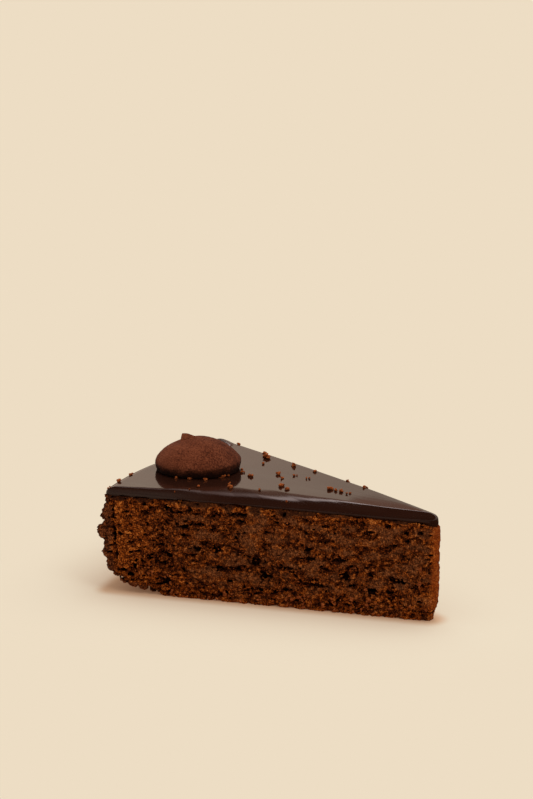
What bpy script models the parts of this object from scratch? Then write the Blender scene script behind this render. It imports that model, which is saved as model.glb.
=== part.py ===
"""A slice of glazed chocolate cake: a tenth of a round 24 cm cake, with a piped truffle on its rim end.

Three solids: the sponge, the glaze over it and the truffle on the glaze. The sponge's cut faces are a
little uneven and carry its largest hollows, its rim is lumpy with crumbs and bevelled below, and the glaze
rolls over at every edge. Metres, +Z up. The slice's middle line is X, its tip points to +X, and the origin
is under the middle of its bounding box.
"""

import math
import random

import bmesh
import bpy
from mathutils import Vector, noise

MM = 0.001

# The slice
CAKE_RADIUS = 120 * MM
HALF_ANGLE = math.radians(18)
TOTAL_HEIGHT = 37 * MM
SEAM_GAP = 0.3 * MM

# The sponge
SPONGE_RIM_RADIUS = CAKE_RADIUS + 1.2 * MM
TIP_ROUND = 2.4 * MM
TIP_ROUND_BELOW = 3.2 * MM
TIP_BEVEL_HEIGHT = 7 * MM
CORNER_ROUND = 1.4 * MM
LEAST_ROUND = 0.3 * MM
RIM_BASE_WIDTH = 20 * MM
RIM_BASE_RISE = 4 * MM
RIM_CURVE_WIDTH = 8.3 * MM
RIM_CURVE_HEIGHT = 7.5 * MM
BASE_EDGE_ROUND = 0.4 * MM
SPONGE_LEVELS = 17
LEVEL_CROWDING = 1.25
FAR_FACE_BOW = 0.9 * MM
UNEVENNESS = 0.35 * MM
UNEVENNESS_SPAN = 13 * MM
UNEVENNESS_ON_RIM = 0.3
ROUGH_TOP_SHARE = 0.25
TOP_INSETS = (1.5 * MM, 6 * MM, 12 * MM)

# The crumbs baked onto the rim: a random coat, and the three large ones at the -Y corner. They fade out
# over the last stretch of each cut face, and over the turn of its corner.
LUMPS_START = 0.93
LUMPS_WHOLE = 0.98
LUMPS_ON_FACE = 0.35
CORNER_FADE = (0.6, 0.85)
RIM_LUMPS = 60
RIM_LUMP_REACH = (1.8 * MM, 3.4 * MM)
RIM_LUMP_HEIGHT = (0.4 * MM, 2.0 * MM)
CORNER_LUMPS = (
    # height on the slice, how far it reaches, how far it stands out
    (27.5 * MM, 3.2 * MM, 2.6 * MM),
    (21 * MM, 3.5 * MM, 4.4 * MM),
    (13.6 * MM, 2.9 * MM, 1.8 * MM),
)

# The largest hollows of the cut faces: distance from the tip, height, half length, half height, depth
NEAR_HOLLOWS = (
    (67 * MM, 15.5 * MM, 3.6 * MM, 3.0 * MM, 1.3 * MM),
    (62 * MM, 9 * MM, 4.4 * MM, 2.8 * MM, 1.4 * MM),
    (36 * MM, 12 * MM, 3.6 * MM, 2.8 * MM, 1.3 * MM),
    (20 * MM, 12 * MM, 6.0 * MM, 2.4 * MM, 1.2 * MM),
    (46 * MM, 8 * MM, 6.5 * MM, 2.4 * MM, 1.2 * MM),
    (110 * MM, 13 * MM, 3.2 * MM, 3.6 * MM, 1.2 * MM),
)
FAR_HOLLOWS = (
    (92 * MM, 12 * MM, 4.4 * MM, 3.0 * MM, 1.4 * MM),
    (74 * MM, 20 * MM, 3.8 * MM, 2.8 * MM, 1.3 * MM),
    (55 * MM, 9 * MM, 6.5 * MM, 2.4 * MM, 1.2 * MM),
    (33 * MM, 14 * MM, 3.8 * MM, 2.8 * MM, 1.3 * MM),
    (20 * MM, 8 * MM, 4.6 * MM, 2.4 * MM, 1.2 * MM),
)

# The glaze
GLAZE_RIM_RADIUS = CAKE_RADIUS + 0.6 * MM
GLAZE_TIP_ROUND = 2.8 * MM
GLAZE_AT_RIM = 2.1 * MM
GLAZE_AT_TIP = 3.0 * MM
GLAZE_THINNING_SPAN = 72 * MM
GLAZE_TIP_DRIP = 2.8 * MM
GLAZE_DRIP_SPAN = 12 * MM
ROLL_SHARE = 0.78
ROLL_POWER = 2.0
ROLL_CRISP = 2.6 * MM
ROLL_AT_CORNER = 3 * MM
ROLL_DRAGGED = 14 * MM
ROLL_AT_TIP = 6.5 * MM
DRAG_PEAK = 0.62
CRISP_FROM_TIP = 16 * MM
ROLL_CHANGE_SPAN = 8 * MM
CURL_UP = 1.5 * MM
CURL_OUT = 3.4 * MM
CURL_REACH = 8 * MM
CURL_FROM_CORNER = math.radians(0.8)
ROLL_STEPS = (0.0, 0.02, 0.07, 0.16, 0.3, 0.5, 0.75, 1.0)
SIDE_STEPS = (0.0, 0.35, 0.7)

# The piped truffle, with the peak that the piping bag pulled up as it came away
TRUFFLE_FROM_TIP = 102.3 * MM
TRUFFLE_RADIUS = 14.9 * MM
TRUFFLE_BASE_RADIUS = 14.4 * MM
TRUFFLE_HEIGHT = 11.0 * MM
TRUFFLE_WIDEST = 2.9 * MM
TRUFFLE_LEAN = 0.5 * MM
TRUFFLE_LEAN_TURN = math.radians(34)
DOME_POWER = 2.0
DOME_FULLNESS = 0.76
TRUFFLE_SIDES = 42
TRUFFLE_BELOW_STEPS = 4
TRUFFLE_ABOVE_STEPS = 15
PEAK_TURN = math.radians(-154.7)
PEAK_OFFSET = 5.7 * MM
PEAK_HEIGHT = 2.1 * MM
PEAK_TAIL = 6.5 * MM
PEAK_FRONT = 0.8 * MM
PEAK_HALF_WIDTH = 2.4 * MM
PEAK_SHARE = 0.012
PEAK_DENT = 0.8 * MM
PEAK_DENT_LENGTH = 6.5 * MM
PEAK_DENT_HALF_WIDTH = 6 * MM

# How finely each stretch of the outline is divided
SPONGE_FACE_STEPS = 42
SPONGE_RIM_STEPS = 36
GLAZE_FACE_STEPS = 24
GLAZE_RIM_STEPS = 24
CORNER_STEPS = 3
TIP_STEPS = 4

SPONGE_BROWN = (0.060, 0.014, 0.004)
GLAZE_BROWN = (0.020, 0.008, 0.005)
COCOA_BROWN = (0.120, 0.037, 0.018)


def smooth_step(share):
    share = min(1.0, max(0.0, share))
    return share * share * (3 - 2 * share)


def mixed(first, second, share):
    return first + (second - first) * share


def arc(centre, radius, first_turn, last_turn, steps):
    """Points along an arc with their outward directions, both ends included."""
    points = []
    for step in range(steps + 1):
        turn = mixed(first_turn, last_turn, step / steps)
        outward = Vector((math.cos(turn), math.sin(turn), 0))
        points.append((centre + outward * radius, outward))
    return points


def half_outline(rim_radius, tip_round, face_steps, rim_steps, inset, bow):
    """The slice's +Y half seen from above, from the middle of the tip to the middle of the rim.

    It holds (point, outward direction) pairs. The cake's centre is at X = Y = 0, and the slice lies
    towards -X.
    """
    rim_radius -= inset
    tip_round = max(tip_round - inset, LEAST_ROUND)
    corner_round = max(CORNER_ROUND - inset, LEAST_ROUND)
    face_turn = math.pi / 2 - HALF_ANGLE
    face_out = Vector((math.cos(face_turn), math.sin(face_turn), 0))

    tip_centre = Vector((-(inset + tip_round) / math.sin(HALF_ANGLE), 0, 0))
    tip = arc(tip_centre, tip_round, 0, face_turn, TIP_STEPS)

    corner_distance = rim_radius - corner_round
    corner_turn = math.pi - HALF_ANGLE + math.asin((inset + corner_round) / corner_distance)
    corner_centre = Vector((math.cos(corner_turn), math.sin(corner_turn), 0)) * corner_distance
    corner = arc(corner_centre, corner_round, face_turn, corner_turn, CORNER_STEPS)

    start, end = tip[-1][0], corner[0][0]
    face = []
    for step in range(1, face_steps):
        share = step / face_steps
        face.append((start.lerp(end, share) + face_out * bow * math.sin(math.pi * share), face_out))
    rim = arc(Vector(), rim_radius, corner_turn, math.pi, rim_steps // 2)[1:]
    return tip + face + corner + rim


def slice_outline(rim_radius, tip_round, face_steps, rim_steps, inset=0.0):
    """The whole slice seen from above, anticlockwise. The cut on its +Y side is a little bowed."""
    far_half = half_outline(rim_radius, tip_round, face_steps, rim_steps, inset, FAR_FACE_BOW)
    near_half = half_outline(rim_radius, tip_round, face_steps, rim_steps, inset, 0.0)
    flip = Vector((1, -1, 1))
    return far_half + [(point * flip, outward * flip) for point, outward in reversed(near_half[1:-1])]


def glaze_thickness(from_tip):
    """The glaze is thickest over the tip, where it also runs down a little."""
    even = mixed(GLAZE_AT_TIP, GLAZE_AT_RIM, smooth_step(from_tip / GLAZE_THINNING_SPAN))
    return even + GLAZE_TIP_DRIP * (1 - smooth_step(from_tip / GLAZE_DRIP_SPAN))


def seam_height(point):
    """The height at which the glaze's underside lies over this point."""
    return TOTAL_HEIGHT - glaze_thickness(math.hypot(point.x, point.y))


def rim_bevel(height):
    """How far the rim stands in at this height: its lower edge slopes up from the base, then curves."""
    if height < RIM_BASE_RISE:
        return mixed(RIM_BASE_WIDTH, RIM_CURVE_WIDTH, height / RIM_BASE_RISE)
    share = max(0.0, 1 - (height - RIM_BASE_RISE) / RIM_CURVE_HEIGHT)
    return RIM_CURVE_WIDTH * (1 - math.sqrt(1 - share**2))


def rim_lumps():
    """(turn about the tip, height, reach, how far it stands out) of each large crumb on the rim."""
    chance = random.Random(24)
    lumps = [(math.pi + HALF_ANGLE, *lump) for lump in CORNER_LUMPS]
    for _ in range(RIM_LUMPS):
        turn = math.pi + chance.uniform(-0.92, 0.92) * HALF_ANGLE
        height = chance.uniform(2 * MM, TOTAL_HEIGHT - 6 * MM)
        lumps.append((turn, height, chance.uniform(*RIM_LUMP_REACH), chance.uniform(*RIM_LUMP_HEIGHT)))
    return lumps


def lump_shift(point, lumps):
    """How far the rim stands out at this point."""
    from_tip = math.hypot(point.x, point.y)
    turn = math.atan2(point.y, point.x) % (2 * math.pi)
    shift = 0.0
    for lump_turn, lump_height, reach, stands_out in lumps:
        along = (turn - lump_turn) * from_tip
        apart = math.hypot(along, point.z - lump_height) / reach
        if apart < 1:
            shift = max(shift, stands_out * math.sqrt(1 - apart * apart))
    return shift


def hollow_shift(point, hollows):
    """How far a hollow of the cut face draws the wall in at this point."""
    from_tip = math.hypot(point.x, point.y)
    shift = 0.0
    for hollow_from_tip, height, half_length, half_height, depth in hollows:
        apart = math.hypot((from_tip - hollow_from_tip) / half_length, (point.z - height) / half_height)
        shift = max(shift, depth * (1 - smooth_step(apart)))
    return shift


def faded_in(value, first, last):
    """From 0 at the first value to 1 at the last."""
    return smooth_step((value - first) / (last - first))


def roughened(point, outward, lumps):
    """The wall's point with the rim's crumbs, the faces' hollows and their unevenness."""
    rimward = faded_in(math.hypot(point.x, point.y) / CAKE_RADIUS, LUMPS_START, LUMPS_WHOLE)
    on_rim = faded_in(-outward.x, *CORNER_FADE)
    wave = noise.noise(point / UNEVENNESS_SPAN) * UNEVENNESS * mixed(1, UNEVENNESS_ON_RIM, on_rim)
    lumped = lump_shift(point, lumps) * max(on_rim, LUMPS_ON_FACE * rimward)
    hollow = hollow_shift(point, FAR_HOLLOWS if point.y > 0 else NEAR_HOLLOWS) * (1 - on_rim)
    radial = Vector((point.x, point.y, 0)).normalized()
    return point + outward * (wave - hollow) + radial * lumped


def mesh_object(name, rings, colour, roughness):
    """One closed body: the rings bridged in order, with a cap on the first and on the last."""
    shape = bmesh.new()
    loops = [[shape.verts.new(point) for point in ring] for ring in rings]
    for lower, upper in zip(loops, loops[1:]):
        for index, corner in enumerate(lower):
            following = (index + 1) % len(lower)
            shape.faces.new((corner, lower[following], upper[following], upper[index]))
    shape.faces.new(list(reversed(loops[0])))
    shape.faces.new(loops[-1])
    bmesh.ops.triangulate(shape, faces=shape.faces[:])
    bmesh.ops.recalc_face_normals(shape, faces=shape.faces[:])
    mesh = bpy.data.meshes.new(name)
    shape.to_mesh(mesh)
    shape.free()
    mesh.shade_smooth()
    mesh.set_sharp_from_angle(angle=math.radians(40))
    mesh.materials.append(food_material(name, colour, roughness))
    made = bpy.data.objects.new(name, mesh)
    bpy.context.scene.collection.objects.link(made)
    return made


def food_material(name, colour, roughness):
    material = bpy.data.materials.new(name)
    material.use_nodes = True
    shader = material.node_tree.nodes["Principled BSDF"]
    shader.inputs["Base Color"].default_value = (*colour, 1)
    shader.inputs["Roughness"].default_value = roughness
    shader.inputs["Metallic"].default_value = 0
    return material


def sponge_outline(bevel, tip_round, inset=0.0):
    rim_radius = SPONGE_RIM_RADIUS - bevel
    return slice_outline(rim_radius, tip_round, SPONGE_FACE_STEPS, SPONGE_RIM_STEPS, inset)


def make_sponge():
    """Rings from the base up the wall and over the top edge, where the glaze's underside takes over."""
    lumps = rim_lumps()
    rings = []
    for level in range(-1, SPONGE_LEVELS + 1):
        share = (max(level, 0) / SPONGE_LEVELS) ** LEVEL_CROWDING
        height = share * (TOTAL_HEIGHT - GLAZE_AT_TIP)
        tip_share = smooth_step(height / TIP_BEVEL_HEIGHT)
        tip_round = mixed(TIP_ROUND_BELOW, TIP_ROUND, tip_share)
        outline = sponge_outline(rim_bevel(height), tip_round, BASE_EDGE_ROUND if level < 0 else 0.0)
        ring = []
        for point, outward in outline:
            top = seam_height(point) - SEAM_GAP
            placed = Vector((point.x, point.y, 0 if level < 0 else mixed(BASE_EDGE_ROUND, top, share)))
            fade = smooth_step((1 - share) / ROUGH_TOP_SHARE) * smooth_step(level + 1)
            rough = roughened(placed, outward, lumps)
            ring.append(placed.lerp(rough, fade))
        rings.append(ring)
    for inset in TOP_INSETS:
        outline = sponge_outline(0, TIP_ROUND, inset)
        rings.append([Vector((p.x, p.y, seam_height(p) - SEAM_GAP)) for p, _ in outline])
    return mesh_object("sponge", rings, SPONGE_BROWN, 0.85)


def roll_width(point):
    """How far in from the edge the glaze starts to fall away.

    The knife dragged it down on the -Y face, most of all midway along; the other face is crisper.
    """
    share = min(1.0, math.hypot(point.x, point.y) / CAKE_RADIUS)
    if share < DRAG_PEAK:
        dragged = mixed(ROLL_AT_TIP, ROLL_DRAGGED, smooth_step(share / DRAG_PEAK))
    else:
        dragged = mixed(ROLL_DRAGGED, ROLL_AT_CORNER, smooth_step((share - DRAG_PEAK) / (1 - DRAG_PEAK)))
    crisp = mixed(ROLL_AT_TIP, ROLL_CRISP, smooth_step(share * CAKE_RADIUS / CRISP_FROM_TIP))
    return mixed(dragged, crisp, smooth_step(0.5 + point.y / ROLL_CHANGE_SPAN))


def roll_fall(share):
    """How far the top has fallen, from 1 at the edge to 0 where the roll begins."""
    return 1 - (1 - (1 - share) ** ROLL_POWER) ** (1 / ROLL_POWER)


def glaze_outline(inset=0.0):
    return slice_outline(GLAZE_RIM_RADIUS, GLAZE_TIP_ROUND, GLAZE_FACE_STEPS, GLAZE_RIM_STEPS, inset)


def rim_curl(point):
    """The share of the rim's one curl that is at this point: the glaze spread out and up at its +Y end."""
    turn = math.pi - HALF_ANGLE + CURL_FROM_CORNER
    crest = Vector((math.cos(turn), math.sin(turn), 0)) * GLAZE_RIM_RADIUS
    return 1 - smooth_step(math.hypot(point.x - crest.x, point.y - crest.y) / CURL_REACH)


def curled(point, share):
    """The glaze's point moved by the curl: outwards at the edge and upwards over the roll."""
    outwards = Vector((point.x, point.y, 0)).normalized() * CURL_OUT * (1 - share)
    return point + (outwards + Vector((0, 0, CURL_UP * math.sqrt(share)))) * rim_curl(point)


def make_glaze():
    """Rings under the glaze from the middle out, up its side, then in over the rolled edge."""
    rings = []
    for inset in reversed(TOP_INSETS):
        rings.append([Vector((p.x, p.y, seam_height(p))) for p, _ in glaze_outline(inset)])
    edge = glaze_outline()
    for share in SIDE_STEPS:
        ring = []
        for point, _ in edge:
            side = glaze_thickness(math.hypot(point.x, point.y)) * (1 - ROLL_SHARE)
            ring.append(curled(Vector((point.x, point.y, seam_height(point) + side * share)), 0.0))
        rings.append(ring)
    for share in ROLL_STEPS:
        ring = []
        for index, (point, _) in enumerate(edge):
            inset = share * roll_width(point)
            inner = glaze_outline(inset)[index][0]
            fall = glaze_thickness(math.hypot(point.x, point.y)) * ROLL_SHARE * roll_fall(share)
            ring.append(curled(Vector((inner.x, inner.y, TOTAL_HEIGHT - fall)), share))
        rings.append(ring)
    return mesh_object("glaze", rings, GLAZE_BROWN, 0.12)


def truffle_outline(turn):
    """Piping is never quite round: the radius at this turn, as a share of the even one."""
    return 1 + 0.015 * math.sin(2 * turn + 0.6) + 0.012 * math.sin(3 * turn + 2.0)


def widest_height(turn):
    """The truffle settled a little to one side, so it is widest higher up on the other."""
    return TRUFFLE_WIDEST + TRUFFLE_LEAN * math.cos(turn - TRUFFLE_LEAN_TURN)


def truffle_dome(x, y, turn):
    """The dome's height over the truffle's foot."""
    share = min(1.0, math.hypot(x, y) / (TRUFFLE_RADIUS * truffle_outline(turn)))
    widest = mixed(TRUFFLE_WIDEST, widest_height(turn), share)
    return widest + (TRUFFLE_HEIGHT - widest) * (1 - share**DOME_POWER) ** DOME_FULLNESS


def truffle_peak(x, y):
    """The peak is steep in front, where the dome is dented, with a long tail behind."""
    ahead = x * math.cos(PEAK_TURN) + y * math.sin(PEAK_TURN) - PEAK_OFFSET
    aside = abs(y * math.cos(PEAK_TURN) - x * math.sin(PEAK_TURN))
    across = PEAK_HEIGHT * (1 - smooth_step(aside / PEAK_HALF_WIDTH))
    if ahead < 0:
        return across * (1 - smooth_step(-ahead / PEAK_TAIL))
    peak = across * (1 - smooth_step(ahead / PEAK_FRONT))
    dent_along = smooth_step(ahead / PEAK_FRONT) * (1 - smooth_step(ahead / PEAK_DENT_LENGTH))
    return peak - PEAK_DENT * dent_along * (1 - smooth_step(aside / PEAK_DENT_HALF_WIDTH))


def make_truffle():
    """Rings up the undercut foot, then over the dome, closing in on the peak."""
    peak = Vector((math.cos(PEAK_TURN), math.sin(PEAK_TURN), 0)) * PEAK_OFFSET
    turns = [2 * math.pi * side / TRUFFLE_SIDES for side in range(TRUFFLE_SIDES)]
    rings = []
    for step in range(TRUFFLE_BELOW_STEPS):
        share = step / TRUFFLE_BELOW_STEPS
        radius = mixed(TRUFFLE_BASE_RADIUS, TRUFFLE_RADIUS, math.sin(share * math.pi / 2))
        ring = []
        for turn in turns:
            out = Vector((math.cos(turn), math.sin(turn), 0)) * radius * truffle_outline(turn)
            ring.append(out + Vector((0, 0, widest_height(turn) * share)))
        rings.append(ring)
    for step in range(TRUFFLE_ABOVE_STEPS + 1):
        share = max(PEAK_SHARE, math.cos(step / TRUFFLE_ABOVE_STEPS * math.pi / 2))
        ring = []
        for turn in turns:
            rim = Vector((math.cos(turn), math.sin(turn), 0)) * TRUFFLE_RADIUS * truffle_outline(turn)
            spot = peak.lerp(rim, share)
            height = truffle_dome(spot.x, spot.y, math.atan2(spot.y, spot.x))
            ring.append(Vector((spot.x, spot.y, height + truffle_peak(spot.x, spot.y))))
        rings.append(ring)
    made = mesh_object("truffle", rings, COCOA_BROWN, 0.9)
    made.location = (-TRUFFLE_FROM_TIP, 0, TOTAL_HEIGHT + SEAM_GAP)
    return made


def centre_over_origin(objects):
    """Slides everything so that the origin is under the middle of the bounding box."""
    bpy.context.view_layer.update()
    points = [made.matrix_world @ vertex.co for made in objects for vertex in made.data.vertices]
    middle_x = (min(p.x for p in points) + max(p.x for p in points)) / 2
    middle_y = (min(p.y for p in points) + max(p.y for p in points)) / 2
    for made in objects:
        made.location -= Vector((middle_x, middle_y, 0))


def main():
    for old in list(bpy.data.objects):
        bpy.data.objects.remove(old)
    centre_over_origin([make_sponge(), make_glaze(), make_truffle()])


main()
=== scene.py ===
"""The looks of a slice of glazed chocolate cake with a piped truffle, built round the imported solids.

The sponge's solid becomes a field of distances, in which the crumb, the cracks and the air holes are
carved, and the result is meshed in four closed blocks. The glaze and the truffle follow their solids'
formulas with many more faces, and refine the dragged edge, the curl and the dome. Loose crumbs are
meshes of their own. Metres, +Z up.
"""

import itertools
import math

import bmesh
import bpy
import numpy as np
import openvdb
from mathutils import Matrix, Vector, noise
from mathutils.bvhtree import BVHTree


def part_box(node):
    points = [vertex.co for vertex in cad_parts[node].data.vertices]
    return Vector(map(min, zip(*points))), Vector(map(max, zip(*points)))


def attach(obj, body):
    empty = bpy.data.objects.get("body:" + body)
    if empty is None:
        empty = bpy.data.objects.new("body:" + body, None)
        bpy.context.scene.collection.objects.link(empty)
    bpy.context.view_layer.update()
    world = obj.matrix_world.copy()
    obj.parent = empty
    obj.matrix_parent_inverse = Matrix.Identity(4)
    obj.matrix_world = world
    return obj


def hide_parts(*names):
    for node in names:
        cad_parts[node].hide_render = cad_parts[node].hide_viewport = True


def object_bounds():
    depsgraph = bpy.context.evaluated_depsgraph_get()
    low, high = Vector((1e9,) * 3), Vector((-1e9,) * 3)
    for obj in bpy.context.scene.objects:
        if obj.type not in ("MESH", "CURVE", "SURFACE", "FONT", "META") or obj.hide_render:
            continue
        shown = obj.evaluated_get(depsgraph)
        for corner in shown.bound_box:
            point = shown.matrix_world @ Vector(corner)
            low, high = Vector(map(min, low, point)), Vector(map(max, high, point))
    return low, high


MM = 0.001

# The slice, with the driving values of its solids
CAKE_RADIUS = 120 * MM
HALF_ANGLE = math.radians(18)
TOTAL_HEIGHT = 37 * MM
CORNER_ROUND = 1.4 * MM
LEAST_ROUND = 0.3 * MM
FAR_FACE_BOW = 0.9 * MM
SPONGE_RIM_RADIUS = CAKE_RADIUS + 1.2 * MM

RIM_BASE_WIDTH = 20 * MM
RIM_BASE_RISE = 4 * MM
RIM_CURVE_WIDTH = 8.3 * MM
RIM_CURVE_HEIGHT = 7.5 * MM

GLAZE_RIM_RADIUS = CAKE_RADIUS + 0.6 * MM
GLAZE_TIP_ROUND = 2.8 * MM
GLAZE_AT_RIM = 2.1 * MM
GLAZE_AT_TIP = 3.0 * MM
GLAZE_THINNING_SPAN = 72 * MM
GLAZE_TIP_DRIP = 2.8 * MM
GLAZE_DRIP_SPAN = 12 * MM
ROLL_SHARE = 0.78
ROLL_CRISP = 2.6 * MM
ROLL_CHANGE_SPAN = 8 * MM

TRUFFLE_FROM_TIP = 102.3 * MM
TRUFFLE_RADIUS = 14.9 * MM
TRUFFLE_BASE_RADIUS = 14.4 * MM
TRUFFLE_HEIGHT = 11.0 * MM
TRUFFLE_WIDEST = 2.9 * MM
TRUFFLE_LEAN = 0.5 * MM
TRUFFLE_LEAN_TURN = math.radians(34)
DOME_POWER = 2.0
PEAK_TURN = math.radians(-154.7)
PEAK_OFFSET = 5.7 * MM
PEAK_HEIGHT = 2.1 * MM
PEAK_TAIL = 6.5 * MM
PEAK_FRONT = 0.8 * MM
PEAK_HALF_WIDTH = 2.4 * MM
PEAK_DENT = 0.8 * MM
PEAK_DENT_LENGTH = 6.5 * MM
PEAK_DENT_HALF_WIDTH = 6 * MM
# The dome's waves round its middle: height, number, turn
TRUFFLE_WAVES = ((0.015, 2, 0.6), (0.012, 3, 2.0))

# What the meshes refine. How far from the tip the roll of the far side gets crisp
CRISP_FROM_TIP = 36 * MM
# The dragged roll: share of the way from the tip to the rim, width in mm, roundness
DRAGGED = (
    (0.00, 3.5, 2.0), (0.08, 4.2, 2.0), (0.15, 6.0, 2.0), (0.275, 11.0, 2.0), (0.42, 13.5, 1.9),
    (0.54, 12.6, 1.8), (0.63, 13.6, 1.7), (0.74, 12.5, 1.7), (0.86, 5.0, 1.9), (1.00, 3.0, 2.0),
)
DRAG_UNEVEN = 0.08
DRAG_WAVE = 12 * MM
# How far the top sinks TIP_SAG_FROM the tip. Further on that fades, and nearer it grows a little
TIP_SAG = 0.22 * MM
TIP_SAG_FROM = 8.8 * MM
TIP_SAG_SPAN = 8 * MM
TIP_SAG_GROWS = 0.25
# The near side sinks too, by this times the square of the metres across, and between these distances from
# the tip that fades. The metres across count up to this share of the distance from the tip
NEAR_SAG = 5.5
NEAR_SAG_FADES = (10 * MM, 40 * MM)
NEAR_SAG_REACH = 0.6
CURL_UP = 3.1 * MM
CURL_OUT = 1.2 * MM
CURL_REACH = 7.5 * MM
CURL_FROM_CORNER = math.radians(3.4)
# How full the dome is, and how much fuller on the side that it leans to
DOME_FULLNESS = 0.74
DOME_FULLER = 0.10
DOME_FULLER_TURN = math.radians(-146)

# The grid that the sponge's crumb is carved on
GRID = 0.34 * MM
BAND_CELLS = 12
CRUMB_BAND = 2.4 * MM

# The view
CAMERA_TURN = math.radians(33.85)
CAMERA_TILT = math.radians(14)
CAMERA_BACK = 600 * MM
CAMERA_ASIDE = -60.96 * MM
CAMERA_UP = 225.84 * MM
CAMERA_LENS = 87.2

COATED_BROWN = (0.026, 0.0078, 0.0040)
# Near-black painted into the crumb's deep gaps and holes: painted shade
HOLLOW_PAINTED_SHADE = (0.010, 0.0018, 0.0004)
CREAM = (0.847, 0.723, 0.552)
FLOOR_COLOUR = (0.729, 0.820, 0.748)
STUDIO_WHITE = (0.86, 0.81, 0.73)
LIGHT_WHITE = (1, 0.96, 0.88)
WORLD_IN_FRONT = 0.42
WORLD_BEHIND = 0.85
# What the glaze mirrors, by the sine of the height over the horizon
MIRRORED = (
    (0.00, (0.05, 0.035, 0.025)),
    (0.03, (0.74, 0.55, 0.425)),
    (0.280, (0.74, 0.55, 0.425)),
    (0.302, (0.95, 0.75, 0.58)),
    (0.335, (0.30, 0.17, 0.12)),
    (0.425, (0.28, 0.16, 0.11)),
    (0.447, (1.7, 1.5, 1.45)),
    (0.492, (1.7, 1.5, 1.45)),
    (0.512, (0.02, 0.015, 0.01)),
)
MIRRORED_IN_FRONT = 0.28
# How bright the low part of it is, by how far to the right it stands, from -0.5 to 0.5
LOW_PART = ((0.435, (1.13, 1.14, 1.14)), (0.517, (0.94, 0.94, 0.94)), (0.569, (0.80, 0.81, 0.82)))
# How dim the high part of it is, by how far to the right it stands, from -0.5 to 0.5
DIMMED = (
    (0.400, (1.0, 1.0, 1.0)),
    (0.425, (0.27, 0.20, 0.19)),
    (0.451, (0.19, 0.15, 0.14)),
    (0.467, (0.28, 0.23, 0.22)),
    (0.488, (0.80, 0.72, 0.70)),
    (0.513, (1.15, 1.10, 1.10)),
    (0.545, (1.50, 1.40, 1.40)),
)
# The height from which DIMMED is used, and not LOW_PART
HIGH_FROM = 0.33
RIGHT = Vector((math.cos(CAMERA_TURN), math.sin(CAMERA_TURN), 0))
AWAY = Vector((-math.sin(CAMERA_TURN), math.cos(CAMERA_TURN), 0))
UP = Vector((0, 0, 1))


def smooth_step(share):
    share = np.clip(share, 0.0, 1.0)
    return share * share * (3 - 2 * share)


def mixed(first, second, share):
    return first + (second - first) * share


def fade(value, start, end):
    """From 0 where the value is at the start, or before it, to 1 at the end."""
    return smooth_step((value - start) / (end - start))


# ---------------------------------------------------------------- materials


def new_material(name):
    """(material, its node tree, its Principled shader)."""
    material = bpy.data.materials.new(name)
    material.use_nodes = True
    return material, material.node_tree, material.node_tree.nodes["Principled BSDF"]


def feed(tree, node, inputs):
    """Gives a node's sockets their values: numbers, vectors, opaque colours or other nodes' outputs."""
    for name, value in inputs:
        socket = node.inputs[name]
        if isinstance(value, bpy.types.NodeSocket):
            tree.links.new(socket, value)
        else:
            socket.default_value = (*value, 1) if socket.type == "RGBA" else value


def add_node(tree, kind, inputs=(), **settings):
    """A node with its settings and its (socket, value) inputs."""
    node = tree.nodes.new(kind)
    for name, value in settings.items():
        setattr(node, name, value)
    feed(tree, node, inputs)
    return node


def colour_ramp(tree, factor, stops):
    """A ramp through (position, colour) stops."""
    node = add_node(tree, "ShaderNodeValToRGB", [("Fac", factor)])
    ramp = node.color_ramp
    while len(ramp.elements) < len(stops):
        ramp.elements.new(0.5)
    for element, (place, colour) in zip(ramp.elements, stops):
        element.position = place
        element.color = (*colour, 1)
    return node.outputs["Color"]


def spot_noise(tree, size, detail=3.0, roughness=0.55, stretch=(1, 1, 1)):
    """Noise in the object's own coordinates, with features about this large in metres."""
    place = add_node(tree, "ShaderNodeTexCoord").outputs["Object"]
    if stretch != (1, 1, 1):
        inputs = [("Scale", stretch), ("Vector", place)]
        place = add_node(tree, "ShaderNodeMapping", inputs).outputs["Vector"]
    inputs = [("Vector", place), ("Scale", 1 / size), ("Detail", detail), ("Roughness", roughness)]
    return add_node(tree, "ShaderNodeTexNoise", inputs).outputs["Fac"]


def maths(tree, operation, *values):
    return add_node(tree, "ShaderNodeMath", enumerate(values), operation=operation).outputs[0]


def weighted_sum(tree, total, *terms):
    """A number, plus the (output, weight) terms."""
    for output, weight in terms:
        total = maths(tree, "MULTIPLY_ADD", output, weight, total)
    return total


def eased(tree, value, before, after):
    """The value, taken smoothly from one range to another."""
    ends = zip(("From Min", "From Max", "To Min", "To Max"), (*before, *after))
    inputs = [("Value", value), *ends]
    return add_node(tree, "ShaderNodeMapRange", inputs, interpolation_type="SMOOTHSTEP").outputs["Result"]


def attribute(tree, name):
    return add_node(tree, "ShaderNodeAttribute", attribute_name=name).outputs["Fac"]


def mix_colour(tree, share, first, second, blend="MIX"):
    inputs = [(0, share), (6, first), (7, second)]
    return add_node(tree, "ShaderNodeMix", inputs, data_type="RGBA", blend_type=blend).outputs[2]


def add_bump(tree, shader, height, strength, distance):
    inputs = [("Height", height), ("Strength", strength), ("Distance", distance)]
    feed(tree, shader, [("Normal", add_node(tree, "ShaderNodeBump", inputs).outputs["Normal"])])


def set_finish(tree, shader, colour, roughness, gloss):
    feed(tree, shader, [("Base Color", colour), ("Roughness", roughness), ("Specular IOR Level", gloss)])


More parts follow.
